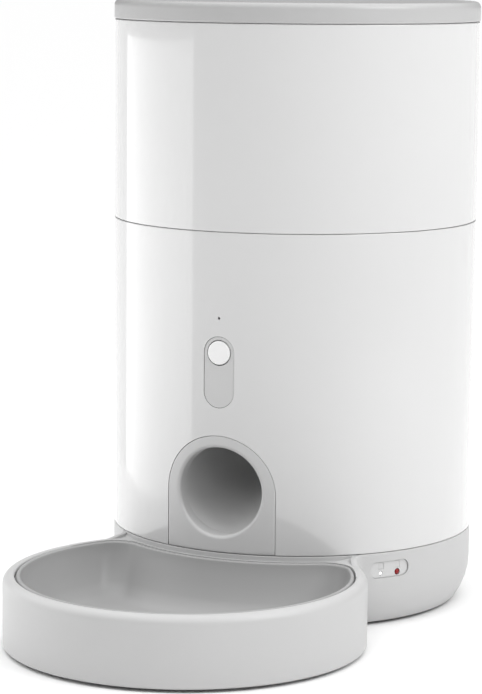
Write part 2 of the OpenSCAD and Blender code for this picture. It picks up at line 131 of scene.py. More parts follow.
def around(degrees, distance, height):
    """A point round the body's axis; degrees are counted from the front towards the right."""
    a = math.radians(degrees)
    return AXIS + Vector((math.sin(a) * distance, -math.cos(a) * distance, height))


def soft_light(name, place, aim_height, size, power):
    """A rectangular soft box at a place, facing a height on the body's axis."""
    lamp = bpy.data.lights.new(name, "AREA")
    lamp.shape = "RECTANGLE"
    lamp.size, lamp.size_y = size
    lamp.energy = power
    box = bpy.data.objects.new(name, lamp)
    bpy.context.scene.collection.objects.link(box)
    box.location = place
    ahead = AXIS + Vector((0, 0, aim_height)) - place
    box.rotation_euler = ahead.to_track_quat("-Z", "Y").to_euler()


def make_stage():
    """A wide sheet of matt white paper."""
    floor_mesh = bmesh.new()
    bmesh.ops.create_grid(floor_mesh, x_segments=1, y_segments=1, size=40)
    mesh = bpy.data.meshes.new("floor")
    floor_mesh.to_mesh(mesh)
    floor = bpy.data.objects.new("floor", mesh)
    bpy.context.scene.collection.objects.link(floor)
    paint = bpy.data.materials.new("floor_paper")
    paint.use_nodes = True
    shader = paint.node_tree.nodes["Principled BSDF"]
    shader.inputs["Base Color"].default_value = (0.93, 0.93, 0.93, 1)
    shader.inputs["Roughness"].default_value = 0.9
    shader.inputs["Specular IOR Level"].default_value = 0.1
    mesh.materials.append(paint)


def make_sky(overhead, horizon):
    """A dome that is bright overhead and dimmer round the horizon."""
    world = bpy.data.worlds.new("dome")
    world.use_nodes = True
    bpy.context.scene.world = world
    dome = Tree(world.node_tree)
    place = dome.add("ShaderNodeTexCoord", output="Generated")
    height = dome.add("ShaderNodeSeparateXYZ", None, {0: place}, "Z")
    strength = dome.add("ShaderNodeMapRange", None, {
        "Value": height, "From Min": 0.4, "From Max": 0.9, "To Min": horizon, "To Max": overhead})
    background = dome.nodes["Background"]
    background.inputs["Color"].default_value = (1, 1, 1, 1)
    dome.links.new(strength.socket, background.inputs["Strength"])


def make_lights():
    """The dome lights the paper. A low box close on the left draws a long crisp reflection down the
    polished shells, and a high one on the right models the round side."""
    make_sky(overhead=1.85, horizon=0.15)
    soft_light("left_box", around(-68, 0.43, 0.165), aim_height=0.165, size=(0.52, 0.33), power=0.62)
    soft_light("right_box", around(80, 1.0, 0.9), aim_height=0.2, size=(0.7, 0.7), power=6.1)


# ---------------------------------------------------------------- finishes
class Wire:
    """A socket in a node tree, with arithmetic that adds Math nodes."""

    def __init__(self, tree, socket):
        self.tree = tree
        self.socket = socket

    def math(self, operation, first, second):
        return self.tree.add("ShaderNodeMath", {"operation": operation}, {0: first, 1: second})

    def __add__(self, other):
        return self.math("ADD", self, other)

    def __radd__(self, other):
        return self.math("ADD", other, self)

    def __sub__(self, other):
        return self.math("SUBTRACT", self, other)

    def __rsub__(self, other):
        return self.math("SUBTRACT", other, self)

    def __mul__(self, other):
        return self.math("MULTIPLY", self, other)

    def __rmul__(self, other):
        return self.math("MULTIPLY", other, self)

    def __gt__(self, other):
        return self.math("GREATER_THAN", self, other)


class Tree:
    """A node tree whose nodes are added one by one."""

    def __init__(self, node_tree):
        self.nodes = node_tree.nodes
        self.links = node_tree.links

    def add(self, kind, settings=None, inputs=None, output=0):
        """Adds a node: its settings first, then the values or links of its sockets; gives one output."""
        made = self.nodes.new(kind)
        for name, value in (settings or {}).items():
            setattr(made, name, value)
        for socket, value in (inputs or {}).items():
            if isinstance(value, Wire):
                self.links.new(value.socket, made.inputs[socket])
            else:
                made.inputs[socket].default_value = value
        return Wire(self, made.outputs[output])


class Finish(Tree):
    """A material, with the steps that its patterns share."""

    def __init__(self, name, **constants):
        self.material = bpy.data.materials.new(name)
        self.material.use_nodes = True
        super().__init__(self.material.node_tree)
        self.shader = self.nodes["Principled BSDF"]
        for socket, value in constants.items():
            self.shader.inputs[socket.replace("_", " ")].default_value = value
        self.place = self.add("ShaderNodeTexCoord", output="Object")

    def noise(self, scale, detail, place=None):
        """Soft clouds; a higher scale makes them smaller."""
        return self.add("ShaderNodeTexNoise", None,
                        {"Vector": place or self.place, "Scale": scale, "Detail": detail}, "Fac")

    def stretched(self, factors):
        """The piece's coordinates stretched by a factor along each axis."""
        return self.add("ShaderNodeMapping", None, {"Vector": self.place, "Scale": factors})

    def mix(self, share, first, second):
        """A colour between two others."""
        return self.add("ShaderNodeMix", {"data_type": "RGBA"}, {0: share, 6: first, 7: second}, 2)

    def bump(self, height, distance, strength=1.0):
        """A relief of a given depth in metres."""
        return self.add("ShaderNodeBump", None,
                        {"Strength": strength, "Distance": distance, "Height": height}, "Normal")

    def feed(self, **sockets):
        """Links what changes over the surface into the shader."""
        for name, wire in sockets.items():
            self.links.new(wire.socket, self.shader.inputs[name.replace("_", " ")])
        return self.material


def grey(level, warm=0.0):
    """A nearly neutral colour from its sRGB level, 0 to 255."""
    value = ((level / 255 + 0.055) / 1.055) ** 2.4
    return (value * (1 + warm), value, value * (1 - warm), 1)


def shade(colour, factor):
    """A colour made lighter or darker."""
    return tuple(c * factor for c in colour[:3]) + (1,)


def gloss_plastic(name, colour, roughness):
    """Polished moulding: almost even colour, faint flow clouds, slight waviness in the gloss."""
    f = Finish(name, IOR=1.5, Coat_Weight=1.0, Coat_Roughness=0.05)
    clouds = f.noise(9.0, 2.0)
    smears = f.noise(38.0, 3.0)
    peel = f.noise(160.0, 1.0)
    return f.feed(Base_Color=f.mix(clouds, shade(colour, 0.985), shade(colour, 1.01)),
                  Roughness=roughness + smears * 0.05,
                  Normal=f.bump(peel, 0.02 * MM, 0.5))


def satin_plastic(name, colour, roughness=0.42):
    """Spark-eroded moulding: a fine even grain, with cloudy shine and colour."""
    f = Finish(name, IOR=1.48)
    clouds = f.noise(12.0, 3.0)
    sheen = f.noise(45.0, 3.0)
    fine = f.noise(1500.0, 2.0)
    speck = f.noise(3200.0, 1.0)
    tone = f.mix(clouds, shade(colour, 0.97), shade(colour, 1.03))
    return f.feed(Base_Color=f.mix(speck * 0.35, tone, shade(colour, 1.08)),
                  Roughness=roughness - 0.05 + sheen * 0.1,
                  Normal=f.bump(fine, 0.04 * MM))


def lamp_lens(name, colour, glow):
    """A clear tinted lens that glows faintly."""
    f = Finish(name, IOR=1.5, Emission_Strength=glow)
    depth = f.noise(900.0, 1.0)
    tone = f.mix(depth, shade(colour, 0.9), colour)
    return f.feed(Base_Color=tone, Emission_Color=tone, Roughness=0.12 + depth * 0.1)


def metal(name, colour, roughness):
    """Plated or brushed metal, with fine streaks across one direction."""
    f = Finish(name, Metallic=1.0)
    lines = f.noise(300.0, 3.0, f.stretched((1, 1, 30)))
    stains = f.noise(60.0, 2.0)
    return f.feed(Base_Color=f.mix(stains, shade(colour, 0.85), colour),
                  Roughness=roughness + lines * 0.15,
                  Normal=f.bump(lines, 0.02 * MM))


def soft_rubber(name, colour, roughness):
    """Moulded rubber: dull, cloudy, and finely grained."""
    f = Finish(name, IOR=1.45, Specular_IOR_Level=0.35)
    clouds = f.noise(30.0, 3.0)
    fine = f.noise(900.0, 3.0)
    return f.feed(Base_Color=f.mix(clouds, shade(colour, 0.9), shade(colour, 1.08)),
                  Roughness=roughness + fine * 0.15,
                  Normal=f.bump(fine, 0.06 * MM))


def circuit_board(name, colour):
    """Green solder mask with tracks that show as slightly raised, lighter lines."""
    f = Finish(name, IOR=1.5)
    cells = f.add("ShaderNodeTexVoronoi", {"feature": "DISTANCE_TO_EDGE", "distance": "MANHATTAN"},
                  {"Vector": f.place, "Scale": 260.0}, "Distance")
    tracks = cells > 0.08
    dust = f.noise(80.0, 2.0)
    return f.feed(Base_Color=f.mix(tracks, shade(colour, 1.7), colour),
                  Roughness=0.3 + dust * 0.15,
                  Normal=f.bump(1 - tracks, 0.03 * MM))


def foil_wrap(name, colour, band):
    """A cell's sleeve: two colours with a soft metallic sheen, parted along the cell."""
    f = Finish(name, Metallic=0.4)
    along = f.add("ShaderNodeSeparateXYZ", None, {0: f.place}, "Y")
    band_from = AXIS.y + 28 * MM
    split = along > band_from
    scuffs = f.noise(200.0, 4.0)
    return f.feed(Base_Color=f.mix(split, colour, band),
                  Roughness=0.3 + scuffs * 0.2,
                  Normal=f.bump(scuffs, 0.02 * MM))


def make_finishes():
    """One finish for each material slot."""
    return {
        "white_shell": gloss_plastic("white_shell", grey(212), 0.1),
        "grey_base": satin_plastic("grey_base", grey(196)),
        "grey_lid": satin_plastic("grey_lid", grey(184), 0.3),
        "grey_bezel": satin_plastic("grey_bezel", grey(203), 0.35),
        "grey_panel": gloss_plastic("grey_panel", grey(200), 0.18),
        "white_button": gloss_plastic("white_button", grey(245), 0.15),
        "grey_bowl": satin_plastic("grey_bowl", grey(165), 0.4),
        "grey_chute": satin_plastic("grey_chute", grey(205), 0.45),
        "inner_plastic": satin_plastic("inner_plastic", grey(222, 0.01), 0.4),
        "dark_plastic": satin_plastic("dark_plastic", grey(42), 0.45),
        "gear_plastic": satin_plastic("gear_plastic", (0.72, 0.68, 0.58, 1), 0.35),
        "steel": metal("steel", (0.6, 0.6, 0.62, 1), 0.25),
        "brass": metal("brass", (0.72, 0.52, 0.24, 1), 0.25),
        "board": circuit_board("board", (0.02, 0.14, 0.06, 1)),
        "silicone": soft_rubber("silicone", grey(200), 0.45),
        "foot_rubber": soft_rubber("foot_rubber", grey(92), 0.6),
        "cell_wrap": foil_wrap("cell_wrap", (0.04, 0.04, 0.045, 1), (0.55, 0.33, 0.1, 1)),
        "window": gloss_plastic("window", grey(202), 0.2),
        "white_lamp": lamp_lens("white_lamp", (0.9, 0.9, 0.9, 1), 0.6),
        "red_lamp": lamp_lens("red_lamp", (0.26, 0.003, 0.006, 1), 0.1),
    }


FINISH = make_finishes()


# ---------------------------------------------------------------- ways of making a shape
HOLD = 1.25   # a holding point's distance from a corner, as a share of the rounding's reach
WELD = 1e-7   # points nearer than this are one point


def mm(points):
    """Points given in millimetres."""
    return [(x * MM, z * MM) for x, z in points]


def smooth(t):
    """An even change from 0 to 1."""
    t = min(1.0, max(0.0, t))
    return t * t * (3 - 2 * t)


def edges_of(geometry):
    """The edges in what an operator gives back."""
    return [g for g in geometry if isinstance(g, bmesh.types.BMEdge)]


def verts_of(geometry):
    """The vertices in what an operator gives back."""
    return [g for g in geometry if isinstance(g, bmesh.types.BMVert)]


def rounded(corners, steps=5):
    """An outline from (across, up, radius) corners, each rounded by its radius, with holding points."""
    outline = []
    count = len(corners)
    for i, (x, z, radius) in enumerate(corners):
        here = Vector((x, z))
        if radius == 0:
            outline.append(here)
            continue
        back = Vector(corners[i - 1][:2]) - here
        on = Vector(corners[(i + 1) % count][:2]) - here
        half = back.angle(on) / 2
        reach = radius / math.tan(half)
        hold = min(reach * HOLD, (reach + min(back.length, on.length)) / 2)
        centre = here + (back.normalized() + on.normalized()).normalized() * radius / math.sin(half)
        start = here + back.normalized() * reach - centre
        swing = math.pi - 2 * half
        if start.y * back.x - start.x * back.y < 0:
            swing = -swing
        outline.append(here + back.normalized() * hold)
        for k in range(steps + 1):
            a = swing * k / steps
            outline.append(centre + Vector((start.x * math.cos(a) - start.y * math.sin(a),
                                            start.x * math.sin(a) + start.y * math.cos(a))))
        outline.append(here + on.normalized() * hold)
    return outline


def turned(outline, centre=AXIS, steps=192, angle=math.tau, start=0.0):
    """A turned solid: a closed outline of (radius, height) points spun round an upright axis."""
    bm = bmesh.new()
    c, s = math.cos(start), math.sin(start)
    verts = [bm.verts.new((r * c, r * s, z)) for r, z in outline]
    edges = [bm.edges.new(pair) for pair in zip(verts, verts[1:] + verts[:1])]
    full = abs(angle - math.tau) < 1e-6
    made = bmesh.ops.spin(bm, geom=verts + edges, cent=(0, 0, 0), axis=(0, 0, 1), angle=angle,
                          steps=steps, use_merge=full)
    if not full:
        bmesh.ops.contextual_create(bm, geom=edges)
        bmesh.ops.contextual_create(bm, geom=edges_of(made["geom_last"]))
    bmesh.ops.remove_doubles(bm, verts=bm.verts, dist=WELD)
    bmesh.ops.dissolve_degenerate(bm, edges=bm.edges, dist=WELD)
    bmesh.ops.translate(bm, verts=bm.verts, vec=centre)
    bmesh.ops.recalc_face_normals(bm, faces=bm.faces)
    return bm


def loft(rings, close=False):
    """A skin through rings of points, each ring extruded from the one before."""
    bm = bmesh.new()
    verts = [bm.verts.new(p) for p in rings[0]]
    edges = [bm.edges.new(pair) for pair in zip(verts, verts[1:] + verts[:1])]
    first = edges
    for ring in rings[1:] + (rings[:1] if close else []):
        made = bmesh.ops.extrude_edge_only(bm, edges=edges)["geom"]
        twin = {tuple(v.co): v for v in verts_of(made)}
        edges = [e for e in edges_of(made) if all(twin.get(tuple(v.co)) is v for v in e.verts)]
        verts = [twin[tuple(v.co)] for v in verts]
        for vert, point in zip(verts, ring):
            vert.co = point
    if close:
        bmesh.ops.remove_doubles(bm, verts=bm.verts, dist=WELD / 10)
    else:
        bmesh.ops.contextual_create(bm, geom=first)
        bmesh.ops.contextual_create(bm, geom=edges)
    bmesh.ops.recalc_face_normals(bm, faces=bm.faces)
    return bm


def slab(outline, near, far, z, turn=0.0):
    """A flat outline facing the front, as thick as near to far from the body's axis, turned round it."""
    bm = bmesh.new()
    verts = [bm.verts.new((x, -near, up + z)) for x, up in outline]
    face = bm.faces.new(verts)
    grown = bmesh.ops.extrude_face_region(bm, geom=[face])["geom"]
    bmesh.ops.translate(bm, vec=(0, near - far, 0), verts=verts_of(grown))
    bmesh.ops.recalc_face_normals(bm, faces=bm.faces)
    bmesh.ops.rotate(bm, verts=bm.verts, cent=(0, 0, 0), matrix=Matrix.Rotation(turn, 3, "Z"))
    bmesh.ops.translate(bm, verts=bm.verts, vec=AXIS)
    return bm


def through(outline, z, turn=0.0):
    """A cutter that goes right through the body's wall."""
    return slab(outline, BODY_R - 20 * MM, BODY_R + 5 * MM, z, turn)


def span(section, half, steps, centre=0.0):
    """A section turned only part of the way round, by half an angle to each side of a direction."""
    return turned(section, steps=steps, angle=2 * half, start=FRONT + centre - half)


def facing(outline, steps, out, z, turn=0.0):
    """A small turned shape that faces outwards, at a distance from the body's axis."""
    bm = turned(outline, Vector((0, 0, 0)), steps=steps)
    bmesh.ops.rotate(bm, verts=bm.verts, cent=(0, 0, 0), matrix=Matrix.Rotation(math.pi / 2, 3, "X"))
    bmesh.ops.translate(bm, verts=bm.verts, vec=(0, -out, z))
    bmesh.ops.rotate(bm, verts=bm.verts, cent=(0, 0, 0), matrix=Matrix.Rotation(turn, 3, "Z"))
    bmesh.ops.translate(bm, verts=bm.verts, vec=AXIS)
    return bm


def arc(cx, cz, radius, start, end, steps):
    """Points along an arc, its angles in degrees."""
    turn = [math.radians(start + (end - start) * i / steps) for i in range(steps + 1)]
    return [(cx + radius * math.cos(a), cz + radius * math.sin(a)) for a in turn]


def circle(radius, cx=0.0, cz=0.0, steps=64):
    """Points evenly round a circle."""
    return arc(cx, cz, radius, 0, 360, steps)[:-1]


def pill(width, height, steps=16):
    """An outline with two straight sides and round ends."""
    r = min(width, height) / 2
    x, z = width / 2 - r, height / 2 - r
    if x > z:
        return arc(x, 0, r, -90, 90, steps) + arc(-x, 0, r, 90, 270, steps)
    return arc(0, z, r, 0, 180, steps) + arc(0, -z, r, 180, 360, steps)


def arch(half_width, low, steps=48):
    """A half circle on two straight legs."""
    return [(half_width, low)] + arc(0, 0, half_width, 0, 180, steps) + [(-half_width, low)]


def plain_object(bm, name):
    """An object made from a bmesh, which is then freed."""
    mesh = bpy.data.meshes.new(name)
    bm.to_mesh(mesh)
    bm.free()
    made = bpy.data.objects.new(name, mesh)
    bpy.context.scene.collection.objects.link(made)
    return made


def carved(bm, *cutters, operation="DIFFERENCE"):
    """The shape with each cutter taken away, or only what is common to them."""
    body = plain_object(bm, "blank")
    for cutter in cutters:
        tool = plain_object(cutter, "cutter")
        cut = body.modifiers.new("cut", "BOOLEAN")
        cut.operation, cut.solver, cut.object = operation, "EXACT", tool
    result = bmesh.new()
    result.from_object(body, bpy.context.evaluated_depsgraph_get())
    for cut in list(body.modifiers):
        bpy.data.objects.remove(cut.object)
    bpy.data.objects.remove(body)
    bmesh.ops.dissolve_degenerate(result, edges=result.edges, dist=10 * WELD)
    return result


def joined(*shapes):
    """Several closed shapes as one mesh."""
    whole = bmesh.new()
    for bm in shapes:
        mesh = bpy.data.meshes.new("part")
        bm.to_mesh(mesh)
        bm.free()
        whole.from_mesh(mesh)
        bpy.data.meshes.remove(mesh)
    return whole


def piece(name, bm, body, nodes, finish=None, edge=0.0, sharp=35):
    """A finished piece in place of CAD nodes: smooth faces, crisp edges, its finish and its body."""
    made = plain_object(bm, name)
    made.data.shade_smooth()
    made.data.set_sharp_from_angle(angle=math.radians(sharp))
    slot = finish or SLOT_OF[nodes[0]]
    made.data.materials.append(FINISH[slot])
    if edge:
        soften = made.modifiers.new("soften", "BEVEL")
        soften.limit_method, soften.angle_limit = "ANGLE", math.radians(50)
        soften.width, soften.segments, soften.profile = edge, 2, 0.5
        soften.harden_normals = True
        soften.material = -1
    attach(made, body)
    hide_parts(*nodes)


# ---------------------------------------------------------------- shells and lid
ROUND_STEPS = 256   # facets round the outer skins, which show against the background


def tube(outer, inner, low, high, corner=0.5 * MM):
    """The section of a ring whose outer edges are rounded."""
    return rounded([(inner, low, 0), (outer, low, corner), (outer, high, corner), (inner, high, 0)])


def make_hopper_shell():
    """The wall, a band that thickens its foot, and the spigot that drops into the lower shell."""
    low, top = SEAM_Z + 0.1 * MM, hopper_high.z
    inner = BODY_R - WALL
    bore = inner - 3 * MM
    wall = turned(tube(BODY_R, inner, low, top), steps=ROUND_STEPS)
    band = turned(tube(inner + 0.2 * MM, bore, low, low + 7 * MM))
    spigot = turned(tube(inner - 0.5 * MM, bore, low - 7 * MM, low + 1 * MM))
    piece("hopper_wall", joined(wall, band, spigot), "hopper", ["hopper_shell"])


def speaker_holes(height=150 * MM, apart=5 * MM, radius=1.2 * MM):
    """Holes at the back: one in the middle, with rings of 6 and 12 round it."""
    spots = [(0, 0)]
    for ring in (1, 2):
        spots += circle(apart * ring, steps=6 * ring)
    return [through(circle(radius, x, z, 12), height, math.pi) for x, z in spots]


def make_lower_shell():
    """The wall, with its openings for the bezel, the panel, the microphone and the speaker."""
    wall = turned(tube(BODY_R, BODY_R - WALL, SHELL_Z, shell_high.z), steps=ROUND_STEPS)
    cutters = [through(arch(ARCH_W, SHELL_Z - ARCH_Z - 5 * MM), ARCH_Z),
               through(pill(PANEL_W, PANEL_H), PANEL_Z),
               through(circle(0.8 * MM, steps=16), MIC_Z),
               joined(*speaker_holes())]
    piece("lower_wall", carved(wall, *cutters), "root", ["lower_shell"], edge=0.3 * MM)


def make_lid():
    """A flat cap with a rounded edge; its skin is open below, where the liner goes."""
    low, top = lid_low.z, lid_high.z
    skin, skirt = 2.6 * MM, LID_R - 2.8 * MM
    section = rounded([(0, top, 0), (LID_R, top, 3.6 * MM), (LID_R, low, 0.8 * MM), (skirt, low, 0),
                       (skirt, top - 4 * MM, 0), (skirt - 1.4 * MM, top - skin, 0), (0, top - skin, 0)],
                      steps=8)
    piece("lid_cover", turned(section, steps=ROUND_STEPS), "lid", ["lid"])


# ---------------------------------------------------------------- base with the bowl holder
BODY_STEPS, HOLDER_STEPS, CROOK_STEPS = 240, 230, 14
BLEND = 18 * MM   # how far along the holder its section takes over from the base's


def spread(count, start, end):
    """Angles spread evenly from start to end, each in the middle of its share."""
    return [start + (end - start) * (i + 0.5) / count for i in range(count)]


def tray_outline():
    """Round the base and the holder as one outline: (centre, radius, side, angle, share of holder)."""
    apart = (AXIS - BOWL).length
    along = ((BODY_R + CROOK_R) ** 2 - (BOWL_R + CROOK_R) ** 2 + apart ** 2) / (2 * apart)
    aside = math.sqrt((BODY_R + CROOK_R) ** 2 - along ** 2)
    crook = AXIS + Vector((aside, -along, 0))
    left_crook = Vector((-crook.x, crook.y, 0))
    body_from = math.atan2(-along, aside)
    bowl_to = math.atan2(apart - along, aside)
    to_body, to_bowl = body_from + math.pi, bowl_to - math.pi
    join = AXIS + BODY_R * Vector((math.cos(body_from), math.sin(body_from), 0))
    runs = [(AXIS, BODY_R, 1, spread(BODY_STEPS, body_from, math.pi - body_from)),
            (left_crook, CROOK_R, -1, spread(CROOK_STEPS, math.pi - to_body, -math.pi - to_bowl)),
            (BOWL, BOWL_R, 1, spread(HOLDER_STEPS, math.pi - bowl_to, math.tau + bowl_to)),
            (crook, CROOK_R, -1, spread(CROOK_STEPS, to_bowl + math.tau, to_body))]
    stations = []
    for centre, radius, side, turns in runs:
        for a in turns:
            spot = centre + radius * Vector((math.cos(a), math.sin(a), 0))
            reach = 0 if centre == AXIS else (Vector((abs(spot.x), spot.y, 0)) - join).length
            stations.append((centre, radius, side, a, smooth(reach / BLEND)))
    return stations


def base_inset(z):
    """How far the base's side has curved in at a height."""
    curve_r, curve_z = 40 * MM, 26 * MM
    return 0 if z >= curve_z else curve_r - math.sqrt(curve_r ** 2 - (curve_z - z) ** 2)


def tray_sections():
    """Matching closed sections of the holder's wall and the base's wall, as (inset, height) points."""
    low = BASE_Z / MM
    rise = [low + 0.8, 8, 14, 20, 27, 32, 35.4]
    holder_side = [(0.8, low)] + [(0, z) for z in rise]
    holder_rim = arc(5.2, 36.8, 5.2, 180, 90, 8) + [(5.5, 42)] + arc(5.8, 41, 1, 80, 0, 3)
    holder_back = [(6.8, 38), (6.5, 36), (3, 33), (3, 12), (3, low)]
    base_side = [(base_inset(BASE_Z) + 0.3 * MM, BASE_Z)] + [(base_inset(z * MM), z * MM) for z in rise]
    base_edge = [(0, z) for z in (38, 40, 41.5, 42.8, 43.8, 44.3)] + arc(0.6, 44.4, 0.6, 160, 90, 2)
    base_top = [(1.2, 45), (2, 45), (2.6, 45), (3, 44.8)]
    base_back = [(3.2, 44), (3.4, 42), (3.4, 38), (3, 33)]
    base_foot = [(3 * MM + base_inset(z), z) for z in (12 * MM, BASE_Z)]
    return (mm(holder_side + holder_rim + holder_back),
            base_side + mm(base_edge + base_top + base_back) + base_foot)


def station_point(station, inset, z):
    """A station of the tray's outline, drawn in by an inset, at a height."""
    centre, radius, side, a = station[:4]
    reach = radius - side * inset
    return (centre.x + reach * math.cos(a), centre.y + reach * math.sin(a), z)


def tray_ring():
    """The side wall of the base and of the holder, one section blending into the other at the crooks."""
    outline = tray_outline()
    rings = []
    for (hold_in, hold_z), (base_in, base_z) in zip(*tray_sections()):
        rings.append([station_point(station, base_in + (hold_in - base_in) * station[-1],
                                    base_z + (hold_z - base_z) * station[-1]) for station in outline])
    return loft(rings, close=True)


def shoulders():
    """The rim along the base's front wall, which sweeps up to it beside each of the bowl's horns."""
    root_r, root_z, far_r = BODY_R - 2 * MM, 36 * MM, 150 * MM
    low = RIM_Z - 0.06 * MM
    side, flat_to, full_from = 56, 36, 46
    bends = [math.pi / 2 * step / 8 for step in range(9)]
    rings = []
    for degrees in range(-side, side + 1):
        turn = math.radians(degrees)
        rise = smooth((abs(degrees) - flat_to) / (full_from - flat_to))
        reach, height = (5 + 3 * rise) * MM, (0.02 + 2.8 * rise) * MM
        section = [(root_r, root_z), (far_r, root_z), (far_r, low)]
        section += [(BODY_R - 0.1 * MM + reach * (1 - math.sin(u)), low + height * (1 - math.cos(u)))
                    for u in bends]
        section.append((root_r, low + height))
        rings.append([(r * math.sin(turn), AXIS.y - r * math.cos(turn), z) for r, z in section])
    below, above, gap = 30 * MM, 50 * MM, 0.9 * MM
    inside = [[station_point(station, 4 * MM, z) for station in tray_outline()] for z in (below, above)]
    mouth = [crescent(LIP_R + gap, BACK_R - gap, HORN_R + gap, z) for z in (below, above)]
    return carved(carved(loft(rings), loft(inside), operation="INTERSECT"), loft(mouth))


def box_section(inner, outer, low, high):
    """A plain rectangular section."""
    return [(inner, low), (outer, low), (outer, high), (inner, high)]


def make_base():
    """One moulding: the side wall, the deck, and the holder with the ledge that the bowl's lip sits on."""
    ring = carved(tray_ring(), through(pill(27.5 * MM, 10 * MM), WINDOW_Z, WINDOW_DIR),
                  through(circle(5.6 * MM), 22 * MM, math.pi))
    front, inner = math.radians(43.5), BODY_R - 3.4 * MM
    wall_r, wall_z, wall_top = BODY_R - 0.05 * MM, 30 * MM, DECK_Z - 0.03 * MM
    front_wall = span(rounded([(inner, wall_z, 0), (wall_r, wall_z, 0), (wall_r, wall_top, 0.6 * MM),
                               (inner, wall_top, 0)]), front, 64)
    foot_r, foot_top = 98 * MM, 31 * MM
    front_foot = span([(foot_r, BASE_Z), (BODY_R - 8 * MM, BASE_Z), (BODY_R - 1 * MM, foot_top),
                       (foot_r, foot_top)], front, 64)
    deck = turned(box_section(0, BODY_R - 3.2 * MM, DECK_Z - 3 * MM, DECK_Z - 0.1 * MM))
    seat_in, seat_out = BOWL_R - 9.2 * MM, BOWL_R - 2.6 * MM
    ledge = turned([(seat_in, SEAT_Z - 3 * MM), (seat_out, SEAT_Z - 6 * MM), (seat_out, SEAT_Z),
                    (seat_in, SEAT_Z)], BOWL)
    pan = turned(box_section(0, seat_out, BASE_Z, BASE_Z + 2.5 * MM), BOWL)
    body_plug = turned(box_section(0, BODY_R - 1 * MM, 0, 60 * MM))
    holder = carved(joined(ledge, pan), body_plug)
    back_ledge = span(box_section(BODY_R - 2 * MM, BODY_R + 3.4 * MM, SEAT_Z - 3 * MM, SEAT_Z),
                      math.radians(37), 48)
    tray = joined(ring, front_wall, front_foot, deck, holder, back_ledge, shoulders())
    piece("tray", tray, "root", ["base_tray"])


# ---------------------------------------------------------------- bowl
LIP_STEPS, HORN_STEPS, BACK_STEPS = 170, 14, 110


def crescent(outer, back, horn, z):
    """The bowl's outline: front arc, rounded horn, arc round the body, rounded horn."""
    apart = (AXIS - BOWL).length
    along = ((outer - horn) ** 2 - (back + horn) ** 2 + apart ** 2) / (2 * apart)
    aside = math.sqrt((outer - horn) ** 2 - along ** 2)
    tip = math.atan2(along, aside)
    inward = math.atan2(along - apart, aside)
    runs = [(0, 0, outer, spread(LIP_STEPS, math.pi - tip, math.tau + tip)),
            (aside, along, horn, spread(HORN_STEPS, tip, inward + math.pi)),
            (0, apart, back, spread(BACK_STEPS, inward, -math.pi - inward)),
            (-aside, along, horn, spread(HORN_STEPS, -inward, math.pi - tip))]
    return [(cx + radius * math.cos(a), BOWL.y + cy + radius * math.sin(a), z)
            for cx, cy, radius, turns in runs for a in turns]


def bowl_ring(inset, z):
    """The lip's outline drawn in by an inset, in millimetres, at a height."""
    return crescent(LIP_R - inset * MM, BACK_R + inset * MM, HORN_R - 0.3 * inset * MM, z)


def make_bowl():
    """A lip that hangs on the holder's ledge, and one wall that sweeps down to a flat floor."""
    def rise(points, level):
        return [bowl_ring(x, level + z * MM) for x, z in points]

    outside = rise([(24, 0), (15.5, 0.9), (10.6, 4), (7.4, 10), (4.4, 19), (2.7, 25), (1.9, 28), (1.8, 29),
                    (1.8, 30.6)], BOWL_FLOOR)
    flange = rise([(1.6, 0.1), (0.4, 0.1), (0, 0.5), (0, 2)], SEAT_Z)
    crest = rise(arc(1.2, -1.2, 1.2, 180, 0, 8), BOWL_TOP)
    wall = rise([(2.6, -2.4), (3, -4.5), (4.2, -8.5), (6.1, -14), (9.2, -22), (12.7, -27.8), (17.6, -30.8),
                 (21.5, -31.8), (26, -31.9)], BOWL_TOP)
    piece("bowl", loft(outside + flange + crest + wall), "bowl", ["feeding_bowl"])


# ---------------------------------------------------------------- outlet, panel and lamps
def on_body(x):
    """The y of the body's surface straight in front of x."""
    return AXIS.y - math.sqrt(BODY_R ** 2 - x * x)


def arch_reach(a):
    """Distance from the outlet's centre to the bezel's outline in a direction."""
    c, s = math.cos(a), math.sin(a)
    half, low, tiny = ARCH_W - 0.3 * MM, OUTLET_Z - SHELL_Z - 0.1 * MM, 1e-9
    drop = OUTLET_Z - ARCH_Z
    over = -drop * s + math.sqrt(max(0, half ** 2 - (drop * c) ** 2))
    top = over * s > -drop
    side = half / max(abs(c), tiny)
    return over if top else min(side, low / max(-s, tiny))


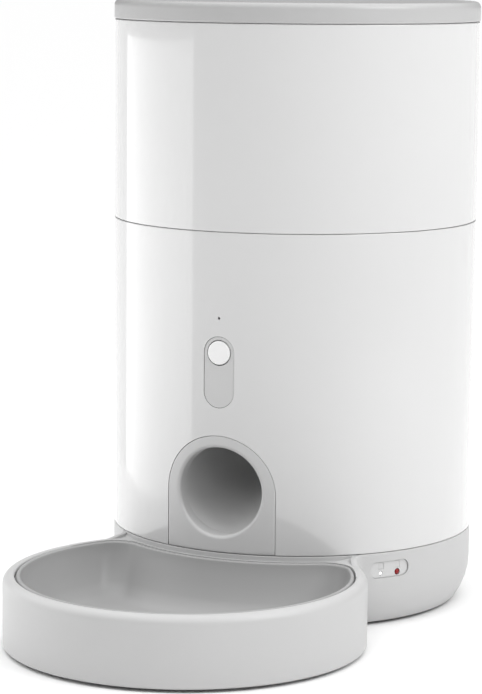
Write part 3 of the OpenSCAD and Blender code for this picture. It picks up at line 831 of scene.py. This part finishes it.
def make_bezel():
    """The arched face follows the body's round; its hole has a rolled lip and a darker sleeve inside."""
    turns = spread(144, 0, math.tau)
    hole, lip, thick = OUTLET_R, 2.2 * MM, 3.3 * MM
    sleeve_end, sleeve_r = AXIS.y - BODY_R + LINER_Y, hole + 2.4 * MM

    def ring(reach, depth=None, y=None):
        """A ring at a reach from the centre, and at a depth in from the surface or at one y."""
        points = []
        for a in turns:
            x = reach(a) * math.cos(a)
            points.append((x, on_body(x) + depth if y is None else y, OUTLET_Z + reach(a) * math.sin(a)))
        return points

    def between(share):
        return lambda a: (hole + lip) * (1 - share) + arch_reach(a) * share

    def at(radius):
        return lambda a: radius

    face = [ring(arch_reach, thick), ring(arch_reach, 0.45 * MM), ring(between(0.985), 0.12 * MM),
            ring(between(0.96), 0)]
    face += [ring(between(k / 6), 0) for k in (5, 4, 3, 2, 1, 0.3)]
    bends = [math.pi / 2 * i / 8 for i in range(9)]
    roll = [ring(at(hole + lip * (1 - math.sin(t))), lip * (1 - math.cos(t))) for t in bends]
    inside = [ring(at(hole), thick), ring(at(hole + 3 * MM), thick)]
    piece("bezel", loft(face + roll + inside, close=True), "root", ["outlet_bezel"], sharp=50)
    start = hole + 0.05 * MM
    sleeve = [ring(at(start), 2.6 * MM), ring(at(start), 3.4 * MM), ring(at(hole), y=sleeve_end),
              ring(at(sleeve_r), y=sleeve_end), ring(at(sleeve_r), 3.6 * MM),
              ring(at(hole + 1 * MM), 3 * MM)]
    piece("bezel_sleeve", loft(sleeve, close=True), "root", ["outlet_bezel"], "grey_chute", sharp=50)


def make_chute():
    """A round duct: from the sleeve it narrows on to a slope, then bends up to the drop under the rotor."""
    slope, upright = math.radians(25), math.pi / 2
    bend_r, drop_y, flare = 32 * MM, -47 * MM, 1.1 * MM
    bend_z = chute_top - 37.5 * MM
    centre = AXIS + Vector((0, drop_y - bend_r, bend_z))

    def on_bend(a):
        return centre + bend_r * Vector((0, math.sin(a), -math.cos(a)))

    along = Vector((0, math.cos(slope), math.sin(slope)))
    path = [(on_bend(slope) - along * (15.4 - 5.1 * step) * MM, slope, 0) for step in range(4)]
    for step in range(1, 17):
        a = slope + (upright - slope) * step / 16
        path.append((on_bend(a), a, 0))
    for step in range(1, 6):
        path.append((AXIS + Vector((0, drop_y, bend_z + step * 7.4 * MM)), upright, 0))
    mouth = AXIS + Vector((0, LINER_Y + 0.1 * MM - BODY_R, OUTLET_Z))
    first = path[0][0]
    path = [(mouth.lerp(first, step / 4), slope * step / 4, 1 - step / 4) for step in range(4)] + path
    turns = [math.tau * i / 72 for i in range(72)]

    def ring(place, heading, widened, radius):
        across = Vector((0, -math.sin(heading), math.cos(heading)))
        wide = radius + widened * flare
        return [place + wide * (Vector((math.cos(a), 0, 0)) + across * math.sin(a)) for a in turns]

    inner, outer = OUTLET_R - 1 * MM, OUTLET_R + 1.2 * MM
    rings = [ring(*spot, inner) for spot in path] + [ring(*spot, outer) for spot in reversed(path)]
    piece("food_duct", loft(rings, close=True), "root", ["chute"])


def make_panel():
    """A capsule set just below the shell's surface, with a hole for the button."""
    inner, outer = BODY_R - 3.2 * MM, BODY_R - 0.35 * MM
    low, high, gap = PANEL_Z - 30 * MM, PANEL_Z + 30 * MM, 0.5 * MM
    blank = span(box_section(inner, outer, low, high), math.radians(8), 48)
    outline = through(pill(PANEL_W - gap, PANEL_H - gap, 24), PANEL_Z)
    hole = through(circle(BUTTON_R + 0.55 * MM), BUTTON_Z)
    plate = carved(carved(blank, outline, operation="INTERSECT"), hole)
    piece("capsule", plate, "root", ["control_panel"], edge=0.3 * MM)


def make_button():
    """A round cap with a very slightly dished face and rolled edge, its flange and its stem."""
    r = BUTTON_R / MM
    flange_r, flange_z, back_z, stem_r, stem_z = r + 1.6, -4.6, -5.6, 2, -8.6
    profile = rounded([(0, -0.25, 0), (r - 1.2, 0.0, 0), (r, 0.05, 0.6), (r, flange_z, 0),
                       (flange_r, flange_z, 0.2), (flange_r, back_z, 0), (stem_r, back_z, 0),
                       (stem_r, stem_z, 0), (0, stem_z, 0)])
    piece("button_cap", facing(mm(profile), 96, AXIS.y - button_low.y, BUTTON_Z), "button", ["feed_button"])


def make_indicator():
    """A window with two lamps in dips, and a grey inlay over each lamp."""
    blank = span(box_section(BODY_R - 2.6 * MM, BODY_R - 1 * MM, 25 * MM, 44 * MM), math.radians(11), 48,
                 WINDOW_DIR)
    outline = through(pill(27.2 * MM, 9.7 * MM, 24), WINDOW_Z, WINDOW_DIR)
    plate = carved(blank, outline, operation="INTERSECT")
    white, red = WINDOW_DIR - math.radians(2.9), WINDOW_DIR + math.radians(3.1)
    tile = [(-1.8, -2), (1.8, -2), (1.8, 2), (-1.8, 2)]
    dips = [through(circle(1.35 * MM, steps=24), LAMP_Z, white),
            through(circle(1.95 * MM, steps=24), LAMP_Z, red)]
    dips += [slab(mm(tile), BODY_R - 1.5 * MM, BODY_R + 5 * MM, INLAY_Z, turn) for turn in (white, red)]
    fitted = mm([(x * 0.97, z * 0.97) for x, z in tile])
    inlays = [slab(fitted, BODY_R - 1.6 * MM, BODY_R - 1.1 * MM, INLAY_Z, turn) for turn in (white, red)]
    piece("lamp_inlays", joined(*inlays), "root", ["indicator_window"], "grey_panel", edge=0.1 * MM)
    piece("lamp_window", carved(plate, *dips), "root", ["indicator_window"], edge=0.15 * MM)
    for name, node, radius, turn in (("lamp_white", "white_led", 1.1, white),
                                     ("lamp_red", "red_led", 1.75, red)):
        dome = mm(arc(0, 0, radius, 90, 0, 8) + [(radius, -4), (0, -4)])
        piece(name, facing(dome, 32, BODY_R - 2.2 * MM, LAMP_Z, turn), "root", [node])


# ---------------------------------------------------------------- the rest keeps its CAD shape
def paint_cad_nodes():
    """Every CAD node gets its slot's finish; those that a piece stands for are hidden later."""
    for name, node in frame["nodes"].items():
        node.data.materials.clear()
        node.data.materials.append(FINISH[SLOT_OF[name]])
        for polygon in node.data.polygons:
            polygon.material_index = 0


bpy.context.scene.view_settings.view_transform = "Standard"
make_camera()
make_stage()
make_lights()
paint_cad_nodes()
make_hopper_shell()
make_lower_shell()
make_lid()
make_base()
make_bowl()
make_bezel()
make_chute()
make_panel()
make_button()
make_indicator()
